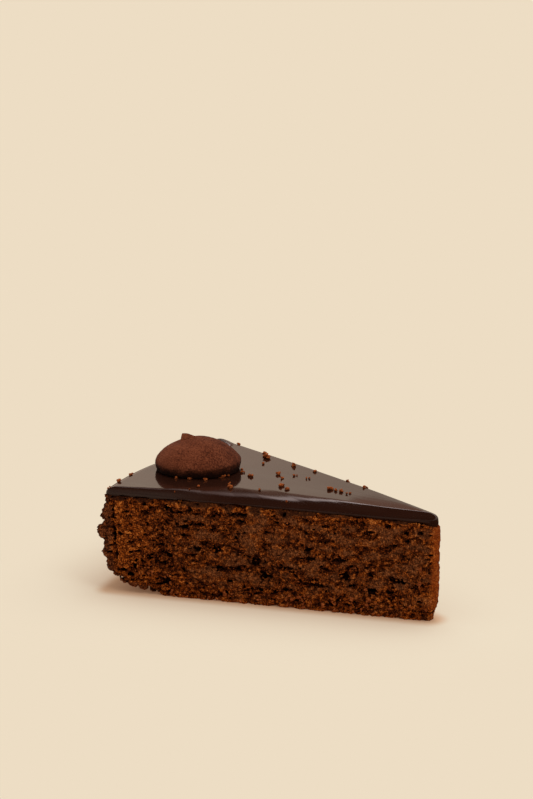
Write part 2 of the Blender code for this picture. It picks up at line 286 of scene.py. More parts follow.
def sponge_material():
    """Moist dark crumb, orange-brown, greyer where smeared; painted shade makes grain tops lighter and gaps
    dark.
    """
    material, tree, shader = new_material("sponge_crumb")
    fine = spot_noise(tree, 0.42 * MM, 2.0, 0.7)
    spots = spot_noise(tree, 1.1 * MM, 3.0, 0.6)
    hue = spot_noise(tree, 0.8 * MM, 2.0, 0.6)
    streaks = spot_noise(tree, 1.6 * MM, 3.0, 0.6, (1, 1, 3))
    height, grain, rusty = (attribute(tree, name) for name in ("height", "grain", "rusty"))
    # Painted light and shade: the grains' proud tops lighter and their gaps darker, over the crumb's own
    # random tone
    share = weighted_sum(tree, -1.68, (height, 0.36), (grain, 0.26), (fine, 2.2), (spots, 1.3), (rusty, 0.10))
    orange = colour_ramp(tree, share, [
        (0.05, (0.018, 0.0031, 0.0005)),
        (0.30, (0.092, 0.0156, 0.0018)),
        (0.52, (0.251, 0.0500, 0.0048)),
        (0.75, (0.488, 0.1180, 0.0125)),
        (1.00, (0.860, 0.3100, 0.0700)),
    ])
    smeared = colour_ramp(tree, share, [
        (0.10, (0.026, 0.0062, 0.0018)),
        (0.50, (0.112, 0.0325, 0.0104)),
        (1.00, (0.317, 0.1040, 0.0351)),
    ])
    crust = colour_ramp(tree, share, [
        (0.15, (0.029, 0.0072, 0.0026)),
        (0.50, (0.112, 0.0273, 0.0091)),
        (0.95, (0.343, 0.1105, 0.0390)),
    ])
    # The tip's edge: streaky rust-coloured crumb, painted brighter as if lit from behind (painted light)
    edge = colour_ramp(tree, streaks, [
        (0.30, (0.120, 0.0170, 0.0023)),
        (0.50, (0.270, 0.0420, 0.0040)),
        (0.70, (0.430, 0.0900, 0.0110)),
    ])
    patchy = weighted_sum(tree, -1.2, (hue, 2.4), (attribute(tree, "smeared"), 1.0))
    colour = mix_colour(tree, patchy, orange, smeared)
    # Over it go the rim's crust, the tip's edge, the glaze smeared under the lip and the painted shade of
    # deep gaps and holes
    for name, over in (("crust", crust), ("edge", edge), ("coated", COATED_BROWN), ("hollow", HOLLOW_PAINTED_SHADE)):
        colour = mix_colour(tree, attribute(tree, name), colour, over)
    set_finish(tree, shader, colour, 0.8, 0.06)
    add_bump(tree, shader, share, 1.0, 0.22 * MM)
    return material


def glaze_material():
    """Dark poured chocolate: glossy, with faint streaks from the knife that spread it, and duller and
    paler where it was scraped on the curl, and on its side near the rim."""
    material, tree, shader = new_material("glaze_gloss")
    cloud = spot_noise(tree, 14 * MM, 3.0, 0.5)
    streaks = spot_noise(tree, 5 * MM, 2.0, 0.5, (0.25, 1.0, 1.0))
    scraped = attribute(tree, "scraped")
    colour = mix_colour(tree, cloud, (0.0175, 0.0054, 0.0032), (0.0260, 0.0082, 0.0048))
    colour = mix_colour(tree, scraped, colour, (0.075, 0.058, 0.050))
    set_finish(tree, shader, colour, weighted_sum(tree, 0.05, (streaks, 0.08), (scraped, 0.45)), 0.5)
    add_bump(tree, shader, streaks, 0.12, 0.3 * MM)
    return material


def cocoa_material():
    """Truffle dusted with cocoa, which thins out towards the bare, darker foot, with painted shade low down.
    """
    material, tree, shader = new_material("cocoa_dust")
    dust = attribute(tree, "dust")
    fine = spot_noise(tree, 0.5 * MM, 3.0, 0.65)
    cloud = spot_noise(tree, 4.5 * MM, 3.0, 0.6)
    share = weighted_sum(tree, -0.75, (fine, 1.5), (cloud, 0.55), (dust, 0.25))
    colour = colour_ramp(tree, share, [
        (0.25, (0.062, 0.0130, 0.0048)),
        (0.50, (0.128, 0.0300, 0.0118)),
        (0.80, (0.220, 0.0620, 0.0275)),
    ])
    covered = weighted_sum(tree, -0.6, (fine, 1.2), (dust, 1.0))
    set_finish(tree, shader, mix_colour(tree, covered, (0.014, 0.0036, 0.0014), colour), 0.9, 0.2)
    add_bump(tree, shader, fine, 0.5, 0.12 * MM)
    return material


def loose_crumb_material():
    material, tree, shader = new_material("loose_crumb")
    colour = colour_ramp(tree, spot_noise(tree, 0.6 * MM, 3.0, 0.6), [
        (0.30, (0.090, 0.016, 0.003)),
        (0.50, (0.270, 0.058, 0.011)),
        (0.72, (0.560, 0.165, 0.042)),
    ])
    set_finish(tree, shader, colour, 0.85, 0.2)
    return material


# ---------------------------------------------------------------- meshes


def add_object(name, data):
    made = bpy.data.objects.new(name, data)
    bpy.context.scene.collection.objects.link(made)
    return made


def add_piece(name, points, faces, material):
    """A smooth mesh object that rides on the slice's one body, held inside the solids' own box."""
    mesh = bpy.data.meshes.new(name)
    points = np.clip(points, BOX_LOW, BOX_HIGH)
    mesh.from_pydata(points.tolist(), [], faces if isinstance(faces, list) else faces.tolist())
    mesh.shade_smooth()
    mesh.materials.append(material)
    made = add_object(name, mesh)
    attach(made, "root")
    return made


def keep_values(made, **values):
    """Stores one number for each vertex under each name, for the material."""
    for name, numbers in values.items():
        layer = made.data.attributes.new(name, "FLOAT", "POINT")
        layer.data.foreach_set("value", np.asarray(numbers, np.float32))


def ring_faces(rings, sides):
    """Quads between closed rings of points, numbered ring by ring, with a cap on the last and the first."""
    faces = []
    for first in range(0, (rings - 1) * sides, sides):
        for side in range(sides):
            following = first + (side + 1) % sides
            faces.append((first + side, following, following + sides, first + sides + side))
    faces.append(tuple(reversed(range(sides))))
    faces.append(tuple(range((rings - 1) * sides, rings * sides)))
    return faces


# ---------------------------------------------------------------- the slice's outline


def half_outline(rim_radius, tip_round, steps, inset, bow):
    """The slice's +Y half seen from above, from the middle of the tip to the middle of the rim.

    steps counts the points along the tip, the face, the corner and the rim, and inset holds one value
    for each point. It returns the points and their outward directions, with the cake's centre at zero.
    """
    tip_steps, face_steps, corner_steps, rim_steps = steps
    ends = np.cumsum(steps)
    rim_radius = rim_radius - inset
    tip_round = np.maximum(tip_round - inset, LEAST_ROUND)
    corner_round = np.maximum(CORNER_ROUND - inset, LEAST_ROUND)
    face_turn = math.pi / 2 - HALF_ANGLE
    face_out = np.array((math.cos(face_turn), math.sin(face_turn)))

    tip_centre = -(inset + tip_round) / math.sin(HALF_ANGLE)
    corner_distance = rim_radius - corner_round
    corner_turn = math.pi - HALF_ANGLE + np.arcsin((inset + corner_round) / corner_distance)

    def around(centre_x, centre_y, radius, turn):
        outward = np.stack((np.cos(turn), np.sin(turn)), axis=-1)
        return np.stack((centre_x, centre_y), axis=-1) + outward * radius[..., None], outward

    zero = np.zeros_like(inset)
    start, _ = around(tip_centre, zero, tip_round, zero + face_turn)
    corner_x = np.cos(corner_turn) * corner_distance
    corner_y = np.sin(corner_turn) * corner_distance
    end, _ = around(corner_x, corner_y, corner_round, zero + face_turn)

    share = np.concatenate((
        np.linspace(0, 1, tip_steps),
        np.arange(1, face_steps + 1) / (face_steps + 1),
        np.linspace(0, 1, corner_steps),
        np.arange(1, rim_steps + 1) / rim_steps,
    ))
    tip = around(tip_centre, zero, tip_round, face_turn * share)
    bowed = face_out * (bow * np.sin(math.pi * share))[:, None]
    face = start + (end - start) * share[:, None] + bowed, np.broadcast_to(face_out, start.shape)
    corner = around(corner_x, corner_y, corner_round, mixed(face_turn, corner_turn, share))
    rim = around(zero, zero, rim_radius, mixed(corner_turn, math.pi, share))
    stretches = np.split(np.arange(len(share)), ends[:-1])
    made = list(zip((tip, face, corner, rim), stretches))
    return [np.concatenate([both[index][where] for both, where in made]) for index in (0, 1)]


def slice_outline(rim_radius, tip_round, steps, inset=0.0):
    """The whole slice seen from above, anticlockwise: the points and their outward directions."""
    count = sum(steps)
    inset = np.broadcast_to(inset, (2 * count - 2,))
    far = half_outline(rim_radius, tip_round, steps, inset[:count], FAR_FACE_BOW)
    near_inset = np.concatenate((inset[:1], inset[count:][::-1], inset[count - 1:count]))
    near = half_outline(rim_radius, tip_round, steps, near_inset, 0.0)
    flip = np.array((1, -1))
    return [np.concatenate((a, (b * flip)[-2:0:-1])) for a, b in zip(far, near)]


# ---------------------------------------------------------------- glaze

GLAZE_STEPS = (22, 250, 14, 110)
ROLL_RINGS = 22
TOP_RINGS = 18
DEEPEST_INSET = 26 * MM
LIP_DROP = 0.2 * MM
LIP_RAGGED = 0.5 * MM
LIP_OUT = 0.12 * MM
# The insets of the rings under the glaze
UNDER_INSETS = (9 * MM, 3 * MM, 0.7 * MM)
# The lip's profile: how far out it stands, in shares of LIP_OUT, and how far up it is
LIP_PROFILE = (
    (-0.25, 0.0), (0.35, 0.0), (0.85, 0.12), (1.0, 0.3), (0.8, 0.55), (0.4, 0.8), (0.1, 0.95),
)
TOP_WAVE = 0.05 * MM
CURL_SCRAPED = 0.9
# How much paler and duller the glaze's side is near the rim
SIDE_PALER = 0.2


def glaze_outline(inset=0.0):
    return slice_outline(GLAZE_RIM_RADIUS, GLAZE_TIP_ROUND, GLAZE_STEPS, inset)


def glaze_thickness(from_tip):
    """(thickness of the coat, how much further it drips down)."""
    even = mixed(GLAZE_AT_TIP, GLAZE_AT_RIM, smooth_step(from_tip / GLAZE_THINNING_SPAN))
    return even, GLAZE_TIP_DRIP * (1 - smooth_step(from_tip / GLAZE_DRIP_SPAN))


def rolled_edge(points):
    """How far in from the edge the glaze starts to fall away, and how round that fall is. On the near
    side the knife dragged it into a wide, uneven slope."""
    along = np.minimum(1.0, np.hypot(points[:, 0], points[:, 1]) / CAKE_RADIUS)
    share, width, power = zip(*DRAGGED)
    uneven = 1 + DRAG_UNEVEN * wobble(points, DRAG_WAVE, 8)
    dragged = np.interp(along, share, width) * MM * uneven
    crisp = mixed(width[0] * MM, ROLL_CRISP, smooth_step(along * CAKE_RADIUS / CRISP_FROM_TIP))
    near = smooth_step(0.5 - points[:, 1] / ROLL_CHANGE_SPAN)
    return mixed(crisp, dragged, near), mixed(power[0], np.interp(along, share, power), near)


def roll_fall(share, power):
    """How far the top has fallen, from 1 at the edge to 0 where the roll begins."""
    return 1 - (1 - (1 - share) ** power) ** (1 / power)


def sag(points):
    """How far the top has sunk near the tip, where the coat ran down, more so on the near side."""
    along = np.hypot(points[:, 0], points[:, 1])
    across = -points[:, 0] * math.sin(HALF_ANGLE) - points[:, 1]
    across = np.maximum(0.0, np.minimum(NEAR_SAG_REACH * along, across))
    nose = TIP_SAG * np.exp(np.minimum(TIP_SAG_GROWS, (TIP_SAG_FROM - along) / TIP_SAG_SPAN))
    return nose + NEAR_SAG * across**2 * (1 - fade(along, *NEAR_SAG_FADES))


def curl_strength(points):
    """From 1 at the crest of the curl at the rim's +Y end to 0 away from it."""
    turn = math.pi - HALF_ANGLE + CURL_FROM_CORNER
    crest = np.array((math.cos(turn), math.sin(turn))) * GLAZE_RIM_RADIUS
    return 1 - smooth_step(np.hypot(*(points[:, :2] - crest).T) / CURL_REACH)


def curled(points, share):
    """The points moved by the curl: outwards at the edge, upwards over the roll."""
    strength = curl_strength(points)
    outward = points[:, :2] / np.hypot(points[:, 0], points[:, 1])[:, None]
    moved = points.copy()
    moved[:, :2] += outward * (CURL_OUT * (1 - share) * strength)[:, None]
    moved[:, 2] += CURL_UP * math.sqrt(share) * strength
    return moved


def wobble(points, span, seed):
    """Smooth noise at each point, flat or not, from about -1 to 1."""
    shift = Vector((seed * 7.3, seed * 3.1, seed * 5.7))
    return np.array([noise.noise(Vector((*point, 0.0)[:3]) / span + shift) for point in points])


def flat_points(outline, heights):
    return np.column_stack((outline, np.broadcast_to(heights, len(outline))))


def make_glaze(material):
    """Rings from under the glaze, round its lip, up its side and over its rolled edge to the middle."""
    edge, outward = glaze_outline()
    thick, drip = glaze_thickness(np.hypot(edge[:, 0], edge[:, 1]))
    seam = TOTAL_HEIGHT - thick - drip
    lip = seam - LIP_DROP - LIP_RAGGED * (wobble(edge, 5 * MM, 1) + 0.6 * wobble(edge, 1.7 * MM, 2))
    rings = [flat_points(glaze_outline(inset)[0], seam) for inset in UNDER_INSETS]
    for out, rise in LIP_PROFILE:
        height = mixed(lip, TOTAL_HEIGHT - thick * ROLL_SHARE, rise)
        rings.append(curled(flat_points(edge + outward * out * LIP_OUT, height), 0.0))
    widths, powers = rolled_edge(edge)
    for step in range(ROLL_RINGS + 1):
        share = (step / ROLL_RINGS) ** 2
        inner, _ = glaze_outline(share * widths)
        fallen = roll_fall(share, powers)
        fall = thick * ROLL_SHARE * fallen + sag(inner) * (1 - fallen)
        rings.append(curled(flat_points(inner, TOTAL_HEIGHT - fall), share))
    for step in range(1, TOP_RINGS + 1):
        inner, _ = glaze_outline(mixed(widths, DEEPEST_INSET, step / TOP_RINGS))
        rings.append(curled(flat_points(inner, TOTAL_HEIGHT - sag(inner)), 1.0))
    points = np.concatenate(rings)
    rise = points[:, 2] - TOTAL_HEIGHT
    on_curl = curl_strength(points) * fade(rise, -0.48 * MM, 0.32 * MM)
    # Paler and duller on the side near the rim
    by_rim = fade(np.hypot(points[:, 0], points[:, 1]), 80 * MM, 105 * MM) * fade(rise, 0.0, -1.0 * MM)
    points += APEX
    points[:, 2] += TOP_WAVE * wobble(points, 11 * MM, 3)
    made = add_piece("glaze_coat", points, ring_faces(len(rings), len(edge)), material)
    keep_values(made, scraped=np.maximum(CURL_SCRAPED * on_curl, SIDE_PALER * by_rim))
    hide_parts("glaze")
    return made


# ---------------------------------------------------------------- truffle

TRUFFLE_SIDES = 220
TRUFFLE_BELOW_RINGS = 20
TRUFFLE_ABOVE_RINGS = 90
# How close to the peak the last ring comes, in shares of the truffle's radius
PEAK_SHARE = 0.004
# Its unevenness: height of the waves, length, seed
TRUFFLE_SWELLS = ((0.10 * MM, 5 * MM, 4), (0.05 * MM, 1.3 * MM, 5), (0.035 * MM, 0.5 * MM, 6))
DUST_UNEVEN = 0.8 * MM
# How much lighter the cocoa is painted on the side that the dome leans to: painted light
LEAN_SIDE_PAINTED_LIGHT = 0.28


def truffle_outline(turn):
    return 1 + sum(height * np.sin(count * turn + shift) for height, count, shift in TRUFFLE_WAVES)


def widest_height(turn):
    """The truffle settled a little to one side, so it is widest higher up on the other."""
    return TRUFFLE_WIDEST + TRUFFLE_LEAN * np.cos(turn - TRUFFLE_LEAN_TURN)


def truffle_dome(x, y):
    """The dome's height over the truffle's foot."""
    turn = np.arctan2(y, x)
    reach = np.minimum(1.0, np.hypot(x, y) / (TRUFFLE_RADIUS * truffle_outline(turn)))
    widest = mixed(TRUFFLE_WIDEST, widest_height(turn), reach)
    fullness = DOME_FULLNESS - DOME_FULLER * np.cos(turn - DOME_FULLER_TURN) * reach
    return widest + (TRUFFLE_HEIGHT - widest) * (1 - reach**DOME_POWER) ** fullness


def truffle_peak(x, y):
    """The peak is steep in front, where the dome is dented, with a long tail behind."""
    ahead = x * math.cos(PEAK_TURN) + y * math.sin(PEAK_TURN) - PEAK_OFFSET
    aside = np.abs(y * math.cos(PEAK_TURN) - x * math.sin(PEAK_TURN))
    length = np.where(ahead < 0, PEAK_TAIL, PEAK_FRONT)
    ridge = PEAK_HEIGHT * (1 - smooth_step(aside / PEAK_HALF_WIDTH))
    dent_along = smooth_step(ahead / PEAK_FRONT) * (1 - smooth_step(ahead / PEAK_DENT_LENGTH))
    dent = PEAK_DENT * dent_along * (1 - smooth_step(aside / PEAK_DENT_HALF_WIDTH))
    return ridge * (1 - smooth_step(np.abs(ahead) / length)) - dent


def make_truffle(material):
    """Rings up the undercut foot, then over the dome, closing in on the peak."""
    peak = np.array((math.cos(PEAK_TURN), math.sin(PEAK_TURN))) * PEAK_OFFSET
    turns = np.arange(TRUFFLE_SIDES) * 2 * math.pi / TRUFFLE_SIDES
    around = np.column_stack((np.cos(turns), np.sin(turns))) * truffle_outline(turns)[:, None]
    rings = []
    for step in range(TRUFFLE_BELOW_RINGS):
        share = step / TRUFFLE_BELOW_RINGS
        radius = mixed(TRUFFLE_BASE_RADIUS, TRUFFLE_RADIUS, math.sin(share * math.pi / 2))
        rings.append(flat_points(around * radius, widest_height(turns) * share))
    for step in range(TRUFFLE_ABOVE_RINGS + 1):
        share = max(PEAK_SHARE, math.cos(step / TRUFFLE_ABOVE_RINGS * math.pi / 2))
        spot = mixed(peak, around * TRUFFLE_RADIUS, share)
        rings.append(flat_points(spot, truffle_dome(*spot.T) + truffle_peak(*spot.T)))
    points = np.concatenate(rings)
    from_middle = points / np.maximum(np.linalg.norm(points, axis=1), MM)[:, None]
    swell = sum(height * wobble(points, span, seed) for height, span, seed in TRUFFLE_SWELLS)
    points += from_middle * swell[:, None]
    points[:, 2] = np.maximum(points[:, 2], 0.0)
    # The cocoa thins out towards the bare foot; its soft darkening up the lower dome is painted shade
    dust = fade(points[:, 2] + DUST_UNEVEN * wobble(points, 2.6 * MM, 7), 0.3 * MM, 4.3 * MM)
    # Painted light: the side that the dome leans to is painted lighter
    leaning = points[:, 0] * math.cos(DOME_FULLER_TURN) + points[:, 1] * math.sin(DOME_FULLER_TURN)
    dust *= 1 + LEAN_SIDE_PAINTED_LIGHT * leaning / TRUFFLE_RADIUS
    points += APEX + np.array((-TRUFFLE_FROM_TIP, 0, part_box("truffle")[0].z))
    faces = ring_faces(len(rings), TRUFFLE_SIDES)
    made = add_piece("truffle_dusted", points, faces, material)
    keep_values(made, dust=dust)
    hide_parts("truffle")


# ---------------------------------------------------------------- sponge

# The largest holes in the near cut face, in millimetres: distance from the tip, height, half length,
# half height, depth
NEAR_HOLES = (
    (67.5, 15.3, 2.2, 1.6, 3.4), (63.5, 10.4, 2.3, 1.6, 3.6), (36.3, 13.0, 1.9, 1.5, 3.4),
    (27.0, 8.6, 2.3, 1.2, 3.0), (80.4, 12.0, 2.0, 1.0, 2.8), (74.4, 12.2, 2.2, 0.8, 2.6),
    (110.6, 10.2, 1.1, 2.4, 2.8), (117.9, 27.5, 0.45, 3.6, 1.8), (117.4, 20.5, 0.50, 3.8, 1.9),
    (116.8, 14.2, 0.45, 2.8, 1.6), (11.5, 12.2, 1.9, 0.7, 2.4), (87.8, 18.1, 1.5, 0.8, 2.2),
    (72.6, 18.0, 1.3, 0.7, 2.0), (99.7, 15.6, 2.0, 0.5, 1.8), (101.1, 18.3, 1.4, 0.5, 1.8),
    (19.8, 25.0, 1.3, 0.6, 1.8), (28.6, 29.0, 1.2, 0.5, 1.8), (21.9, 31.7, 1.1, 0.7, 1.8),
    (10.9, 30.2, 1.0, 0.6, 1.6), (55.9, 6.5, 1.6, 0.7, 2.2), (65.6, 5.6, 1.5, 0.7, 2.2),
    (100.1, 11.9, 1.2, 0.7, 1.8), (18.6, 12.9, 4.0, 0.85, 2.6), (46.5, 8.8, 5.0, 0.85, 2.8),
    (73.6, 31.3, 3.6, 0.65, 2.2), (49.3, 18.1, 3.0, 0.65, 2.2), (39.0, 18.4, 4.2, 0.60, 2.2),
    (57.0, 14.2, 3.0, 0.70, 2.4), (93.0, 25.5, 2.2, 0.60, 2.0),
)
# How far two fields of waves bend a hole out of shape: along, upwards and at its edge
HOLE_BENT = (0.30, 0.45, 0.25)
# The random holes: seed, number, side. And how far from the tip and how high they go, in millimetres
RANDOM_HOLES = ((31, 130, -1), (32, 150, 1))
HOLES_REACH = (118, 33)
# Nicks in the tip's edge: height, half height. And where they are, which way they run, their other sizes
TIP_NOTCHES = ((24.3, 0.55), (19.8, 0.5))
TIP_NOTCH_AT = (-5.4, 1.2)
TIP_NOTCH_ALONG = (-0.56, 0.83)
TIP_NOTCH_SIZE = (1.6, 0.9)
# The four blocks that the sponge is meshed in: name, side along X, side along Y
SPONGE_BLOCKS = (
    ("sponge_near_tip", 1, -1), ("sponge_near_rim", -1, -1),
    ("sponge_far_tip", 1, 1), ("sponge_far_rim", -1, 1),
)
BLOCKS_PART_AT = -76 * MM
BLOCKS_OVERLAP = 0.1 * MM
# How far flat faces are merged when a block on each side along Y is meshed
MESH_EASE = {-1: 0.006, 1: 0.014}
FACE_DIRECTION = np.array((-math.cos(HALF_ANGLE), math.sin(HALF_ANGLE)))
FACE_OUTWARD = np.array((math.sin(HALF_ANGLE), math.cos(HALF_ANGLE)))


def solid_distances(name):
    """The distance to a CAD node's surface on a grid, negative inside, and the grid's first corner."""
    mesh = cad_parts[name].data
    mesh.calc_loop_triangles()
    points = np.empty(3 * len(mesh.vertices), np.float32)
    mesh.vertices.foreach_get("co", points)
    corners = np.empty(3 * len(mesh.loop_triangles), np.int32)
    mesh.loop_triangles.foreach_get("vertices", corners)
    shell = openvdb.FloatGrid.createLevelSetFromPolygons(
        points.reshape(-1, 3),
        triangles=corners.reshape(-1, 3).astype(np.uint32),
        transform=openvdb.createLinearTransform(GRID),
        halfWidth=BAND_CELLS,
    )
    first, last = (np.array(corner) for corner in shell.evalActiveVoxelBoundingBox())
    distances = np.empty(last - first + 1, np.float32)
    shell.copyToArray(distances, ijk=tuple(first.tolist()))
    return distances, first


def wave_field(shape, sizes, seed):
    """Random waves about this long along X, Y and Z, about 0 with a spread of 1, which wrap round."""
    spectrum = np.fft.rfftn(np.random.default_rng(seed).standard_normal(shape, dtype=np.float32))
    kinds = np.fft.fftfreq, np.fft.fftfreq, np.fft.rfftfreq
    squares = [(kind(cells) * size / GRID) ** 2 for kind, cells, size in zip(kinds, shape, sizes)]
    pitch = squares[0][:, None, None] + squares[1][None, :, None] + squares[2][None, None, :]
    spectrum *= np.exp(-np.log(np.maximum(pitch, 1e-9)) ** 2 / 0.7)
    field = np.fft.irfftn(spectrum, shape).astype(np.float32)
    return field / field.std()


def hashed(cells, seed):
    """A well mixed whole number for each grid cell."""
    mix = cells[0] * 73856093 ^ cells[1] * 19349663 ^ cells[2] * 83492791 ^ seed * 2654435761
    mix = (mix ^ (mix >> 15)) * 2246822519 & 0xFFFFFFFF
    mix = (mix ^ (mix >> 13)) * 3266489917 & 0xFFFFFFFF
    return mix ^ (mix >> 16)


def grains(points, size, seed):
    """Each point's distance to the middle of its nearest grain, in grain sizes, and a number from 0 to
    1 that is the grain's own. points and size are by axis."""
    scaled = [(axis / length).astype(np.float32) for axis, length in zip(points, size)]
    base = [np.floor(axis).astype(np.int64) for axis in scaled]
    nearest = np.full(len(scaled[0]), 9.0, np.float32)
    owner = np.zeros(len(scaled[0]), np.int64)
    for step in itertools.product((-1, 0, 1), repeat=3):
        cell = [axis + shift for axis, shift in zip(base, step)]
        mix = hashed(cell, seed)
        apart = np.zeros(len(nearest), np.float32)
        for index in range(3):
            jitter = ((mix >> (10 * index)) & 1023).astype(np.float32) / 1023
            apart += (cell[index] + jitter - scaled[index]) ** 2
        closer = apart < nearest
        nearest = np.where(closer, apart, nearest)
        owner = np.where(closer, mix, owner)
    return np.sqrt(nearest), ((owner * 40503 >> 7) & 1023) / 1023


def rim_bevel(height):
    """How far the rim stands in at this height."""
    slope = mixed(RIM_BASE_WIDTH, RIM_CURVE_WIDTH, height / RIM_BASE_RISE)
    share = np.clip(1 - (height - RIM_BASE_RISE) / RIM_CURVE_HEIGHT, 0, 1)
    return np.where(height < RIM_BASE_RISE, slope, RIM_CURVE_WIDTH * (1 - np.sqrt(1 - share**2)))


def sides_of(x, y, z):
    """Signed distances past the rim, past the nearer cut face and below the base."""
    rim = np.hypot(x, y) - SPONGE_RIM_RADIUS + rim_bevel(z)
    face = x * FACE_OUTWARD[0] + np.abs(y) * FACE_OUTWARD[1]
    return rim, face, -z


def random_holes(seed, count):
    """Small air holes of a cut face, lower ones commoner: the same five numbers as NEAR_HOLES."""
    chance = np.random.default_rng(seed)
    holes = []
    while len(holes) < count:
        from_tip = HOLES_REACH[0] * math.sqrt(chance.uniform(0.003, 1))
        height = HOLES_REACH[1] * chance.uniform(0.02, 1) ** 1.25
        length = 0.4 + 1.2 * chance.uniform() ** 2.0
        tall = length * chance.uniform(0.3, 0.75)
        holes.append((from_tip, height, length, tall, chance.uniform(0.9, 2.2)))
    return holes


def carve_holes(field, bends, first, holes, side):
    """Takes each hole out of one cut face."""
    along = FACE_DIRECTION * (1, side)
    for from_tip, height, length, tall, depth in np.array(holes) * MM:
        middle = np.append(along * from_tip, height) + APEX
        carve_hole(field, bends, first, middle, along, (length, depth, tall))


def grid_near(field, first, middle, reach):
    """The part of the grid within reach of a place: its slices, and its X, Y and Z from the place."""
    low = np.maximum(np.floor((middle - reach) / GRID).astype(int) - first, 0)
    high = np.clip(np.ceil((middle + reach) / GRID).astype(int) - first + 1, low, field.shape)
    ends = zip(low, high, first, middle)
    axes = [(np.arange(start, end) + shift) * GRID - place for start, end, shift, place in ends]
    return tuple(map(slice, low, high)), np.meshgrid(*axes, indexing="ij", sparse=True)


def carve_hole(field, bends, first, middle, along, size):
    """An ellipsoid, bent out of shape by two fields of waves. Size is its half length along, half depth
    across and half height."""
    length, depth, tall = size
    wide = 1.7 * max(length, depth)
    block, (x, y, z) = grid_near(field, first, middle, np.array((wide, wide, 2.4 * tall)) + 0.4 * MM)
    bend, warp = (waves[block] for waves in bends)
    share_along = (x * along[0] + y * along[1]) / length + HOLE_BENT[0] * warp
    share_in = (x * along[1] - y * along[0]) / depth
    share_up = z / tall + HOLE_BENT[1] * bend
    apart = np.sqrt(share_along**2 + share_in**2 + share_up**2)
    hole = (apart - 1 + HOLE_BENT[2] * warp) * min(length, tall)
    field[block] = np.maximum(field[block], -hole)


def meshed(field, first, adaptivity):
    """(points, triangles) of the field's surface."""
    grid = openvdb.FloatGrid(float(BAND_CELLS * GRID))
    grid.copyFromArray(field, ijk=tuple(int(index) for index in first))
    grid.transform = openvdb.createLinearTransform(GRID)
    points, triangles, quads = grid.convertToPolygons(isovalue=0.0, adaptivity=adaptivity)
    halves = np.concatenate((quads[:, [0, 1, 2]], quads[:, [0, 2, 3]]))
    triangles = np.concatenate((triangles, halves)).astype(np.int64)[:, ::-1]
    return largest_body(points.astype(np.float64), triangles)


def largest_body(points, triangles):
    """Leaves out loose specks and sealed holes: only the largest connected surface stays."""
    label = np.arange(len(points))
    while True:
        lowest = label[triangles].min(axis=1)
        lower = label.copy()
        for corner in range(3):
            np.minimum.at(lower, triangles[:, corner], lowest)
        lower = lower[lower]
        if (lower == label).all():
            break
        label = lower
    names, counts = np.unique(label[triangles[:, 0]], return_counts=True)
    kept = triangles[label[triangles[:, 0]] == names[counts.argmax()]]
    used, renumbered = np.unique(kept, return_inverse=True)
    return points[used], renumbered.reshape(-1, 3)


# The large crumbs at the near end of the rim: degrees round from the corner, then in millimetres their
# height, radius and how far the middle stands out
CORNER_CRUMBS = (
    (0.5, 27.4, 2.1, -0.2), (1.1, 20.7, 2.9, 0.5), (0.6, 13.6, 2.3, -1.4), (0.3, 32.6, 1.7, -1.7),
    (0.8, 9.2, 2.4, -2.0), (1.9, 23.4, 1.8, 0.1), (2.2, 17.4, 1.9, -0.6), (2.6, 29.0, 2.0, -0.6),
)
# Chunks that stand out of the near cut face, in millimetres: distance from the tip, height, radius, how
# far the middle stands out
FACE_CHUNKS = (
    (10.2, 15.0, 2.2, -1.3), (8.6, 5.4, 2.8, -1.7), (13.6, 17.6, 1.6, -1.0), (11.6, 3.6, 2.0, -1.2),
    (114.3, 5.7, 2.6, -1.9), (111.2, 4.3, 2.5, -1.9), (107.6, 3.4, 2.3, -1.9), (104.0, 2.6, 2.0, -1.7),
)
RIM_COAT = 120


def add_lump(field, first, middle, radius):
    """Joins a ball to the field."""
    block, (x, y, z) = grid_near(field, first, middle, radius + 2 * GRID)
    field[block] = np.minimum(field[block], np.sqrt(x**2 + y**2 + z**2) - radius)


def add_face_chunks(field, first):
    for from_tip, height, radius, out in FACE_CHUNKS:
        spot = FACE_DIRECTION * (1, -1) * from_tip + FACE_OUTWARD * (1, -1) * out
        add_lump(field, first, APEX + np.append(spot, height) * MM, radius * MM)


def add_rim_crumbs(field, first):
    """Round crumbs baked onto the rim, the corner's own and a random coat."""
    chance = np.random.default_rng(41)
    crumbs = [(HALF_ANGLE - math.radians(turn), *rest) for turn, *rest in CORNER_CRUMBS]
    for _ in range(RIM_COAT):
        radius = chance.uniform(0.9, 2.3)
        turn = chance.uniform(-0.95, 0.9) * HALF_ANGLE
        crumbs.append((turn, chance.uniform(4, 33), radius, -chance.uniform(0.45, 0.8) * radius))
    for turn, height, radius, out in crumbs:
        away = SPONGE_RIM_RADIUS - rim_bevel(height * MM) + out * MM
        middle = APEX + np.array((-math.cos(turn) * away, -math.sin(turn) * away, height * MM))
        add_lump(field, first, middle, radius * MM)


# Each kind of grain: its size along X, Y and Z, and its seed
GRAIN_KINDS = (
    (np.array((0.95, 0.95, 0.8)) * MM, 3),
    (np.array((1.9, 1.9, 1.3)) * MM, 5),
    (np.array((3.2, 3.2, 2.5)) * MM, 9),
)
GRAIN_BENT = (0.22 * MM, 0.22 * MM, 0.18 * MM)
# How far down each kind's gaps go, in millimetres: on the cuts, how much more low down, and on the rim
CUT_DEPTHS = (0.7, 1.25, 0.40)
CUT_DEPTHS_LOW = (-0.3, 0.5, 0.32)
RIM_DEPTHS = (0.9, 1.1, 0.9)
# How far the relief stands out again, so that its middle stays on the solid's face
CUT_RAISED = 0.46
RIM_RAISED = 0.6
# How much of the relief each zone smooths out
SMOOTHED = {"calm": 0.65, "tip": 0.75, "end": 0.35}
